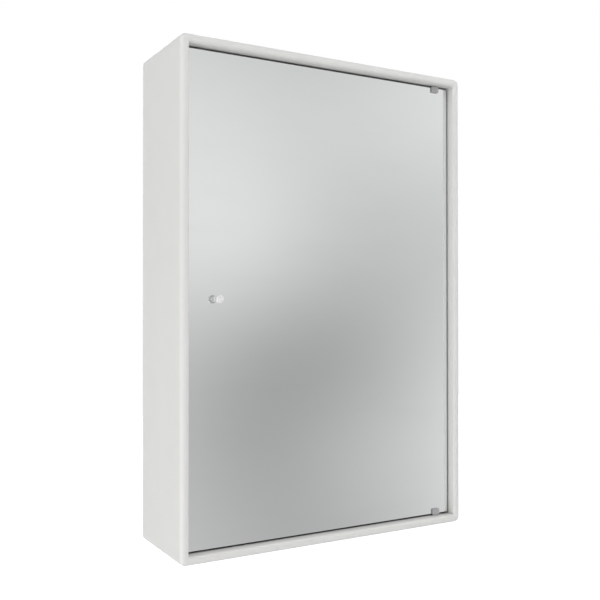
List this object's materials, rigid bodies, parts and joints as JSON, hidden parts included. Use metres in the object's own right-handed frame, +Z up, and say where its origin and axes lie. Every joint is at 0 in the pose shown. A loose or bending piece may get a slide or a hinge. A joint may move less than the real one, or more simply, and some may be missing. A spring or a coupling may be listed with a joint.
{
  "type": "bathroom mirror cabinet",
  "caption": "Wall-hung bathroom cabinet of mitred white board with rounded edges, with glass shelves and an inset mirror door on pivot clamps, opened by a small knob.",
  "frame": {"origin": "the middle of the back, in the wall plane", "axes": "+Z up, +X to the right of someone who faces the mirror, +Y from the mirror to the wall; the mirror faces -Y"},
  "size_m": [0.468, 0.15, 0.696],
  "materials": {
    "white_lacquer": "satin white lacquer on 12 mm fibreboard",
    "back_board": "white faced board",
    "beech": "plain beech, glued in",
    "zinc": "matt grey die-cast zinc",
    "steel": "zinc plated steel",
    "nickel": "nickel plated steel",
    "nylon": "dark grey nylon",
    "soft_liner": "soft dark liner",
    "buffer": "translucent grey silicone",
    "white_plastic": "plain white moulding",
    "magnet": "dark grey ferrite",
    "mirror": "silvered float glass with a polished arris",
    "film": "grey safety film",
    "shelf_glass": "clear toughened glass with polished edges",
    "knob_lacquer": "satin white lacquer on turned metal"
  },
  "bodies": {
    "cabinet": {"left_side_panel": "white_lacquer", "right_side_panel": "white_lacquer", "top_panel": "white_lacquer", "bottom_panel": "white_lacquer", "corner_tongues": "beech", "back_panel": "back_board", "upper_rail": "back_board", "lower_rail": "back_board", "rail_dowels": "beech", "back_screws": "steel", "upper_pivot_bush": "nylon", "lower_pivot_bush": "nylon", "door_stops": "white_plastic", "stop_buffers": "buffer", "stop_screws": "steel", "catch_housing": "white_plastic", "catch_magnet": "magnet", "catch_screws": "steel", "lower_shelf": "shelf_glass", "middle_shelf": "shelf_glass", "upper_shelf": "shelf_glass", "shelf_supports": "nickel"},
    "door": {"mirror_glass": "mirror", "safety_film": "film", "upper_clamp": "zinc", "lower_clamp": "zinc", "upper_liner": "soft_liner", "lower_liner": "soft_liner", "upper_set_screws": "steel", "lower_set_screws": "steel", "upper_pivot_pin": "steel", "lower_pivot_pin": "steel", "upper_washer": "nylon", "lower_washer": "nylon", "knob": "knob_lacquer", "knob_washers": "nylon", "knob_screw": "steel", "strike_plate": "steel"}
  },
  "joints": [
    {"name": "door_hinge", "type": "hinge", "parent": "cabinet", "child": "door", "pos_m": [0.195, -0.1252, 0], "axis": [0, 0, 1], "range_deg": [0, 110]}
  ]
}
